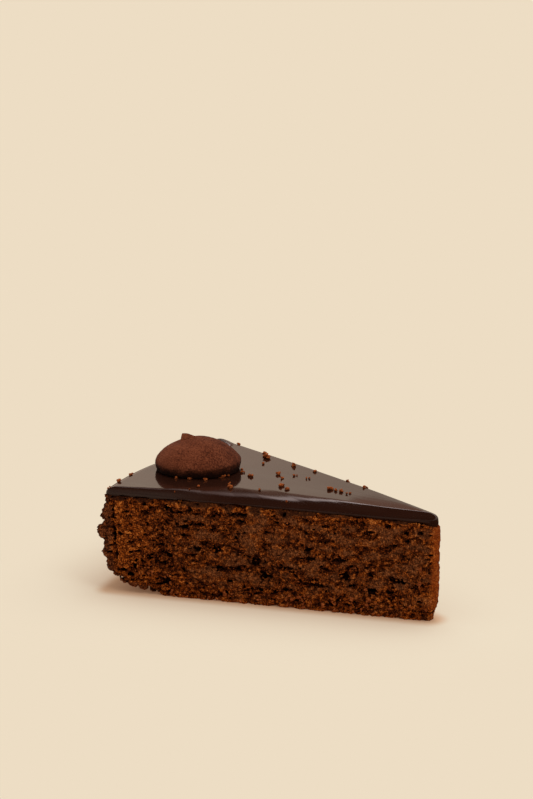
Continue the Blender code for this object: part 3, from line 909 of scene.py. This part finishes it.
# How strong the long flat waves have to be to tear a pore open, and how that changes by zone
PORE_LEVEL = 1.5
PORE_LEVEL_CHANGES = {"calm": 0.6, "low": -0.4, "rim": 1.2, "tip": 1.0, "base": 2.0}
PORE_SLOPE = 0.8 * MM
PORE_DEPTH = 2.3 * MM
CRACK_WIDTH = 0.24
CRACK_SLOPE = 0.5 * MM
CRACK_DEPTH = 1.7 * MM


def make_waves(shape):
    """The slow changes over the crumb, the short waves that bend it, and the long ones that tear it."""
    return {
        "slow": wave_field(shape, (9 * MM, 9 * MM, 5 * MM), 21),
        "bend": wave_field(shape, (2.2 * MM, 2.2 * MM, 1.6 * MM), 22),
        "warp": wave_field(shape, (1.3 * MM, 1.3 * MM, 1.1 * MM), 23),
        "tear": wave_field(shape, (4.6 * MM, 4.6 * MM, 1.5 * MM), 24),
        "crack": wave_field(shape, (8 * MM, 8 * MM, 3.4 * MM), 25),
    }


def zones(x, y, z, slow):
    """How much each place belongs to the rim, the base, the low crumbly stretch, the calm smeared
    stretches, the stretch by the rim and the tip's edge, from 0 to 1, and whether the glaze hides it."""
    rim, face, below = sides_of(x, y, z)
    return {
        "rim": fade(rim - face, -1.2 * MM, 1.2 * MM) * (rim > -6 * MM),
        "base": fade(below - np.maximum(rim, face), -0.75 * MM, 0.75 * MM),
        "low": fade(z, 10.5 * MM, 3.5 * MM),
        "calm": smooth_step(0.42 + 0.5 * slow) * fade(rim, -20 * MM, -32 * MM),
        "end": fade(rim, -20 * MM, -9 * MM),
        "tip": fade(x, -8.2 * MM, -5.8 * MM),
        "buried": (z > 33 * MM) * (face < -1.8 * MM) * (rim < -1.8 * MM),
    }


def grains_at(x, y, z, bend, warp, kinds):
    """What grains() says for each kind. Two fields of waves bend them, so that they aren't round."""
    shifts = zip((x, y, z), GRAIN_BENT, (bend, warp, warp))
    bent = [axis + reach * waves for axis, reach, waves in shifts]
    return [grains(bent, size, seed) for size, seed in kinds]


def carve_crumb(field, waves, first):
    """Roughens the field near its surface: grains and torn pores on the cuts, coarse crumbs on the rim."""
    near = np.nonzero(np.abs(field) < CRUMB_BAND)
    cells = zip(near, first, APEX)
    x, y, z = ((index + start).astype(np.float32) * GRID - place for index, start, place in cells)
    slow, bend, warp, tear, crack = (volume[near] for volume in waves.values())
    zone = zones(x, y, z, slow)
    gaps = [apart**2 for apart, _ in grains_at(x, y, z, bend, warp, GRAIN_KINDS)]
    rough = 1 - SMOOTHED["calm"] * zone["calm"] * (1 - zone["low"])
    strengths = 0.4 + 0.6 * rough, rough, rough
    cut = -CUT_RAISED
    for gap, depth, lower, strength in zip(gaps, CUT_DEPTHS, CUT_DEPTHS_LOW, strengths):
        cut = cut + (depth + lower * zone["low"]) * strength * gap
    cut *= (1 - SMOOTHED["tip"] * zone["tip"]) * (1 - SMOOTHED["end"] * zone["end"])
    cut += 0.05 * zone["tip"] * (warp + bend)
    lumps = sum(depth * gap for depth, gap in zip(RIM_DEPTHS, gaps)) - RIM_RAISED
    relief = mixed(mixed(cut, lumps, zone["rim"]), 0.5 * cut - 0.2, zone["base"])
    level = field[near] + np.where(zone["buried"], 0.0, relief * MM).astype(np.float32)
    open_at = PORE_LEVEL + sum(change * zone[name] for name, change in PORE_LEVEL_CHANGES.items())
    pore = np.minimum((tear + 0.35 * warp - open_at) * PORE_SLOPE, field[near] + PORE_DEPTH)
    opened = CRACK_WIDTH * smooth_step(0.2 - 0.6 * slow + 0.45 * zone["low"])
    opened *= (1 - zone["rim"]) * (1 - zone["base"]) * (1 - zone["tip"])
    split = np.abs(crack + 0.25 * warp + 0.22 * bend) - opened
    pore = np.maximum(pore, np.minimum(-CRACK_SLOPE * split, field[near] + CRACK_DEPTH))
    field[near] = np.where(zone["buried"], level, np.maximum(level, pore))


def make_sponge(material):
    """The solid's field with crumbs joined to it, then carved, then meshed block by block."""
    field, first = solid_distances("sponge")
    add_rim_crumbs(field, first)
    add_face_chunks(field, first)
    smooth = field.copy()
    waves = make_waves(field.shape)
    bends = waves["bend"], waves["warp"]
    carve_crumb(field, waves, first)
    torn = field.copy()
    carve_holes(field, bends, first, NEAR_HOLES, -1)
    for seed, count, side in RANDOM_HOLES:
        carve_holes(field, bends, first, random_holes(seed, count), side)
    for height, tall in TIP_NOTCHES:
        middle = APEX + np.array((*TIP_NOTCH_AT, height)) * MM
        carve_hole(field, bends, first, middle, TIP_NOTCH_ALONG, np.array((*TIP_NOTCH_SIZE, tall)) * MM)
    x, y = ((np.arange(field.shape[axis]) + first[axis]) * GRID - APEX[axis] for axis in (0, 1))
    x = (x - BLOCKS_PART_AT).astype(np.float32)[:, None, None]
    y = y.astype(np.float32)[None, :, None]
    made = []
    for name, side_x, side_y in SPONGE_BLOCKS:
        block = np.maximum(field, np.maximum(-side_x * x, -side_y * y) - BLOCKS_OVERLAP)
        points, triangles = meshed(block, first, MESH_EASE[side_y])
        made.append(add_piece(name, points, triangles, material))
        paint_sponge(made[-1], points, smooth, torn, waves, first)
    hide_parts("sponge")


def sampled(volume, first, points):
    """The volume's value at each point, between the grid's."""
    place = np.clip(points / GRID - first, 0, np.array(volume.shape) - 1.001)
    base = place.astype(int)
    share = place - base
    value = 0.0
    for corner in itertools.product((0, 1), repeat=3):
        weight = np.prod(np.where(corner, share, 1 - share), axis=1)
        value = value + weight * volume[tuple((base + corner).T)]
    return value


def paint_sponge(piece, points, smooth, torn, waves, first):
    """Stores what the material needs to know at each point. smooth is the field before any carving, torn
    the one before its holes were cut."""
    x, y, z = (points - APEX).T
    slow, bend, warp = (sampled(waves[name], first, points) for name in ("slow", "bend", "warp"))
    zone = zones(x, y, z, slow)
    fine, middling = (owner for _, owner in grains_at(x, y, z, bend, warp, GRAIN_KINDS[:2]))
    rim, _, _ = sides_of(x, y, z)
    depth = -sampled(smooth, first, points)
    # How far into a hole each point lies, for the painted shade there
    in_hole = fade(-sampled(torn, first, points), 0.25 * MM, 0.85 * MM) * fade(depth, 0.0, 0.8 * MM)
    rusty = np.maximum.reduce((
        zone["tip"],
        0.7 * zone["end"],
        0.8 * fade(z, 31 * MM, 33 * MM),
        0.7 * fade(x, -18 * MM, -10 * MM) * fade(z, 14 * MM, 9 * MM),
        0.85 * zone["low"],
    ))
    smeared = 0.125 + 0.7 * zone["calm"] + 0.25 * middling - 0.55 * rusty
    coated = fade(z + (0.9 * slow + 0.4 * warp) * MM, 33 * MM, 34.2 * MM) * smooth_step(0.40 + 0.6 * slow)
    keep_values(
        piece,
        grain=0.6 * fine + 0.4 * middling,
        # Painted light and shade of the relief: proud tops lighter, gaps darker
        height=fade(depth, 0.70 * MM, -0.45 * MM),
        smeared=np.clip(smeared, 0, 1),
        rusty=rusty,
        # The tip's streaky edge, painted brighter as if lit from behind
        edge=0.55 * fade(x, -7.4 * MM, -5.9 * MM),
        coated=0.85 * coated * (1 - zone["tip"]),
        # Painted shade: near-black deep in the relief and in the holes
        hollow=0.97 * np.maximum(fade(depth, 0.6 * MM, 1.6 * MM), 0.95 * in_hole),
        crust=0.9 * fade(rim + 0.39 * MM * slow, -3.4 * MM, -2.1 * MM),
    )


# ---------------------------------------------------------------- loose crumbs

# Crumbs on the glaze, in millimetres: distance behind the tip, distance to the +Y side, spread; then how
# many they are, and their size
GLAZE_CRUMBS = (
    (109, 34.5, 0.8, 2, 1.0), (94, 29.5, 0.8, 2, 1.0), (89.5, 24.5, 1.6, 5, 1.3), (86, 17.5, 0.8, 2, 1.0),
    (76.5, 21, 1.0, 3, 1.0), (65.5, 19, 0.8, 2, 0.9), (50.5, 17, 0.8, 2, 0.9), (40.5, 12, 1.8, 3, 0.9),
    (74, 9, 1.0, 3, 1.0), (70.5, 5.5, 0.8, 2, 1.0), (66, -2, 1.0, 3, 1.0), (61.5, -4.5, 1.3, 3, 0.9),
    (81, 1.5, 1.2, 3, 1.0), (86, 4, 0.8, 2, 0.9), (88.5, 6.5, 0.9, 2, 1.0), (49, 2.5, 1.5, 3, 1.0),
    (43, 4, 2.6, 4, 1.0), (68, 11, 1.0, 2, 0.8), (63, 10.5, 0.8, 2, 0.8), (69.5, -10, 0.8, 2, 0.9),
    (55.5, -14.5, 0.6, 1, 1.0), (79, -13.5, 0.9, 2, 1.1), (82, -10, 0.9, 2, 1.0), (88.5, -4.5, 1.2, 4, 1.3),
    (91.5, -10.5, 0.9, 2, 1.0), (96.5, -13, 0.8, 2, 0.8), (101.5, -14.5, 0.9, 2, 0.8),
    (104, -12.5, 0.8, 2, 0.8), (89, -18.5, 0.8, 1, 1.0), (90, -22, 0.6, 1, 0.9), (92.5, -27, 0.6, 1, 0.9),
    (117.5, -20, 0.8, 2, 1.0), (116, -28, 1.0, 3, 1.1), (114, -35.5, 0.7, 2, 0.9), (119, -16.5, 0.7, 1, 0.8),
)
# Crumbs that cling to the near cut face, in millimetres: distance from the tip, height, spread; then how
# many they are, and their size
FACE_CRUMBS = (
    (10.6, 17.4, 0.9, 5, 1.3), (10.2, 15.2, 1.3, 9, 1.4), (11.4, 13.2, 1.0, 5, 1.2), (8.7, 5.2, 1.3, 9, 1.7),
    (7.6, 7.0, 0.8, 4, 1.4), (12.5, 24.5, 0.8, 2, 0.9), (27, 4.2, 1.6, 5, 1.3), (50, 3.0, 2.2, 6, 1.2),
    (88, 22, 1.2, 2, 0.9), (62, 27.5, 1.2, 2, 0.8), (104, 7.5, 1.8, 5, 1.2), (98, 4.6, 2.4, 6, 1.2),
)
# How many more are scattered over each cut face: near the base, and anywhere above it
SCATTERED_LOW = 90
SCATTERED_ABOVE = 60
# Seeds for where the crumbs lie and for their shapes
GLAZE_CRUMB_SEEDS = (71, 72)
FACE_CRUMB_SEEDS = (81, 82)


def ball():
    """(points, triangles) of a unit ball."""
    shape = bmesh.new()
    bmesh.ops.create_icosphere(shape, subdivisions=2, radius=1)
    points = np.array([vertex.co[:] for vertex in shape.verts])
    triangles = np.array([[vertex.index for vertex in face.verts] for face in shape.faces])
    shape.free()
    return points, triangles


def crumb_heap(middles, sizes, seed):
    """Many crumbs in one mesh: each a ball squeezed, turned and roughened at random."""
    chance = np.random.default_rng(seed)
    points, triangles = ball()
    every_point, every_face = [], []
    for index, (middle, size) in enumerate(zip(middles, sizes)):
        axes = np.linalg.qr(chance.standard_normal((3, 3)))[0]
        squeeze = chance.uniform(0.45, 1.2, 3)
        rough, _ = grains((points + chance.uniform(0, 90, 3)).T, (0.75, 0.75, 0.75), seed)
        placed = (points * squeeze * (1.7 - 1.3 * rough[:, None])) @ axes * size / 2 + middle
        every_point.append(placed)
        every_face.append(triangles + index * len(points))
    return np.concatenate(every_point), np.concatenate(every_face)


def make_glaze_crumbs(glaze, material):
    """Crumbs scattered on the glaze, in small clusters."""
    corners = [vertex.co for vertex in glaze.data.vertices]
    tree = BVHTree.FromPolygons(corners, [face.vertices for face in glaze.data.polygons])
    chance = np.random.default_rng(GLAZE_CRUMB_SEEDS[0])
    middles, sizes = [], []
    for back, aside, spread, count, size in GLAZE_CRUMBS:
        for _ in range(count):
            shift = chance.normal(0, 0.5, 2) * spread
            across = APEX[:2] + (np.array((-back, aside)) + shift) * MM
            hit = tree.ray_cast(Vector((*across, 0.1)), Vector((0, 0, -1)))[0]
            if hit is None:
                continue
            grown = size * chance.uniform(0.75, 1.6) * MM
            middles.append(np.array(hit) + np.array((0, 0, 0.28 * grown)))
            sizes.append(grown)
    points, triangles = crumb_heap(middles, sizes, GLAZE_CRUMB_SEEDS[1])
    add_piece("glaze_crumbs", points, triangles, material)


def make_face_crumbs(material):
    """Crumbs that cling to the sponge: the near face's own, and a scatter on both cut faces."""
    chance = np.random.default_rng(FACE_CRUMB_SEEDS[0])
    middles, sizes = [], []

    def add(from_tip, height, side, size):
        grown = size * chance.uniform(0.6, 1.2) * MM
        along = FACE_DIRECTION * (1, side)
        outward = FACE_OUTWARD * (1, side)
        spot = along * from_tip * MM - outward * 0.25 * grown
        middles.append(APEX + np.append(spot, max(height * MM, 0.45 * grown)))
        sizes.append(grown)

    for from_tip, height, spread, count, size in FACE_CRUMBS:
        for _ in range(count):
            aside = chance.normal(0, 0.6) * spread
            add(from_tip + aside, height + chance.normal(0, 0.6) * spread, -1, size)
    for side in (-1, 1):
        for _ in range(SCATTERED_LOW):
            add(chance.uniform(12, 100), 0.6 + 5 * chance.uniform() ** 1.8, side, chance.uniform(0.6, 1.4))
        for _ in range(SCATTERED_ABOVE):
            add(chance.uniform(12, 112), chance.uniform(5, 33), side, chance.uniform(0.4, 0.9))
    points, triangles = crumb_heap(middles, sizes, FACE_CRUMB_SEEDS[1])
    add_piece("clinging_crumbs", points, triangles, material)


# ---------------------------------------------------------------- studio

FLOOR_STEPS = (8, 30, 8, 30)
FLOOR_RINGS = 32
FLOOR_RING_GAP = 2 * MM
FLOOR_RADIUS = 4.0
FLOOR_GLOW_NEAR = 0.25
FLOOR_GLOW_TINT = (1.417, 0.802, 0.543)
# The warm shade close round the slice: how far out it reaches, its colour, and how much less it glows
FLOOR_TOUCH = 5.5 * MM
FLOOR_TOUCHED = (0.690, 0.490, 0.340)
FLOOR_TOUCH_DIM = 0.15
# How far from the slice's own outline the floor starts and ends turning into plain backdrop
SHADOWS_FADE = (8 * MM, 48 * MM)
# How far the even light's way from front to back tilts up
WORLD_TILT = 0.35
# The lights: name, place to the right, away and up from the slice's middle, size, radiance
SOFTBOXES = (
    ("overhead", (0.10, 0.05, 0.70), (0.5, 0.4), 2.9),
    ("key", (0.32, -0.38, 0.62), (0.26, 0.26), 4.6),
)
SLICE_MIDDLE = 0.02


def make_floor():
    """A wide pale floor. Only near the slice does it take shadows, so that it meets the backdrop unseen."""
    rings, apart = [], []
    for ring in range(FLOOR_RINGS):
        away = ring * FLOOR_RING_GAP
        outline, _ = slice_outline(SPONGE_RIM_RADIUS, GLAZE_TIP_ROUND, FLOOR_STEPS, -away)
        rings.append(flat_points(outline, 0.0) + APEX)
        apart.append(np.full(len(outline), away))
    edge = rings[-1] * (1, 1, 0)
    rings.append(edge / np.linalg.norm(edge, axis=1)[:, None] * FLOOR_RADIUS)
    apart.append(np.full(len(edge), FLOOR_RADIUS))
    mesh = bpy.data.meshes.new("floor")
    mesh.from_pydata(np.concatenate(rings).tolist(), [], ring_faces(len(rings), len(edge))[:-1])
    mesh.materials.append(floor_material())
    floor = add_object("floor", mesh)
    keep_values(floor, apart=np.concatenate(apart))
    floor.visible_glossy = False


def floor_material():
    """Pale paper with a faint warm glow near the slice, which turns into the plain backdrop's colour."""
    material, tree, shader = new_material("floor_paper")
    share = eased(tree, attribute(tree, "apart"), SHADOWS_FADE, (0, 1))
    touch = eased(tree, attribute(tree, "apart"), (0, FLOOR_TOUCH), (1, 0))
    set_finish(tree, shader, mix_colour(tree, touch, FLOOR_COLOUR, FLOOR_TOUCHED), 1.0, 0.0)
    warm = tuple(channel * tint for channel, tint in zip(CREAM, FLOOR_GLOW_TINT))
    near_glow, far_glow = (
        add_node(tree, "ShaderNodeEmission", [("Color", colour)]).outputs[0] for colour in (warm, CREAM)
    )
    glow_share = weighted_sum(tree, FLOOR_GLOW_NEAR, (touch, -FLOOR_TOUCH_DIM))
    near = add_node(tree, "ShaderNodeMixShader", [(0, glow_share), (1, shader.outputs[0]), (2, near_glow)])
    blend = add_node(tree, "ShaderNodeMixShader", [(0, share), (1, near.outputs[0]), (2, far_glow)])
    feed(tree, tree.nodes["Material Output"], [("Surface", blend.outputs[0])])
    return material


def along_way(tree, place, way):
    """How far a direction goes this way."""
    inputs = [(0, place), (1, tuple(way))]
    return add_node(tree, "ShaderNodeVectorMath", inputs, operation="DOT_PRODUCT").outputs["Value"]


def make_world():
    """A cream studio. What the glaze mirrors is a bright band low all round, then a soft strip of light,
    then a dark ceiling; the crumb and the floor take an even light that is stronger from behind."""
    world = bpy.data.worlds.new("studio")
    world.use_nodes = True
    tree = world.node_tree
    place = add_node(tree, "ShaderNodeTexCoord").outputs["Generated"]
    path = add_node(tree, "ShaderNodeLightPath")
    rise = add_node(tree, "ShaderNodeSeparateXYZ", [("Vector", place)]).outputs["Z"]
    facing = along_way(tree, place, AWAY + UP * WORLD_TILT)

    def from_front(first, last):
        return eased(tree, facing, (-0.7, 0.7), (first, last))

    spread = mix_colour(tree, 1.0, STUDIO_WHITE, from_front(WORLD_IN_FRONT, WORLD_BEHIND), "MULTIPLY")
    mirrored = colour_ramp(tree, rise, MIRRORED)
    mirrored = mix_colour(tree, 1.0, mirrored, from_front(MIRRORED_IN_FRONT, 1.0), "MULTIPLY")
    aside = maths(tree, "ADD", along_way(tree, place, RIGHT), 0.5)
    high = maths(tree, "GREATER_THAN", rise, HIGH_FROM)
    changed = mix_colour(tree, high, colour_ramp(tree, aside, LOW_PART), colour_ramp(tree, aside, DIMMED))
    mirrored = mix_colour(tree, 1.0, mirrored, changed, "MULTIPLY")
    colour = mix_colour(tree, path.outputs["Is Glossy Ray"], spread, mirrored)
    colour = mix_colour(tree, path.outputs["Is Camera Ray"], colour, CREAM)
    feed(tree, tree.nodes["Background"], [("Color", colour)])
    bpy.context.scene.world = world


def make_lights():
    """Area lights that face the slice's middle."""
    for name, (right, away, up), size, radiance in SOFTBOXES:
        light = bpy.data.lights.new(name, "AREA")
        light.shape = "RECTANGLE"
        light.size, light.size_y = size
        light.energy = radiance * math.pi * size[0] * size[1]
        light.color = LIGHT_WHITE
        made = add_object(name, light)
        outward = RIGHT * right + AWAY * away + UP * up
        made.location = UP * SLICE_MIDDLE + outward
        made.rotation_euler = (-outward).to_track_quat("-Z", "Y").to_euler()
        made.visible_glossy = False


def make_camera():
    look = AWAY * math.cos(CAMERA_TILT) - UP * math.sin(CAMERA_TILT)
    camera = bpy.data.cameras.new("camera")
    camera.lens = CAMERA_LENS
    camera.clip_start = 0.01
    made = add_object("camera", camera)
    made.matrix_world = Matrix((RIGHT, RIGHT.cross(look), -look)).transposed().to_4x4()
    made.location = Vector(APEX) + RIGHT * CAMERA_ASIDE - AWAY * CAMERA_BACK + UP * CAMERA_UP
    bpy.context.scene.camera = made


def find_apex():
    """Where the wedge's two cut planes and the base meet, read from the glaze's solid."""
    edge, _ = glaze_outline()
    low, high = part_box("glaze")
    return np.array((high.x - edge[:, 0].max(), low.y - edge[:, 1].min(), 0.0))


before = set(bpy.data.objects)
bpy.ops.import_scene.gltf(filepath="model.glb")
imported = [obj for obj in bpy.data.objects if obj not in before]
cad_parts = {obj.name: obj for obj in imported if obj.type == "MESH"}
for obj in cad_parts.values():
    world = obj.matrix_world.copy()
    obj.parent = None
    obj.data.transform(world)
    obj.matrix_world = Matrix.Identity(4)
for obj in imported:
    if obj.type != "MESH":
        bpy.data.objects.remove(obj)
solid_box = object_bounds()
BOX_LOW, BOX_HIGH = (np.array(corner) for corner in solid_box)
APEX = find_apex()

bpy.context.scene.view_settings.view_transform = "Standard"
make_camera()
make_world()
make_floor()
make_lights()
made_glaze = make_glaze(glaze_material())
make_truffle(cocoa_material())
make_sponge(sponge_material())
crumb_finish = loose_crumb_material()
make_glaze_crumbs(made_glaze, crumb_finish)
make_face_crumbs(crumb_finish)
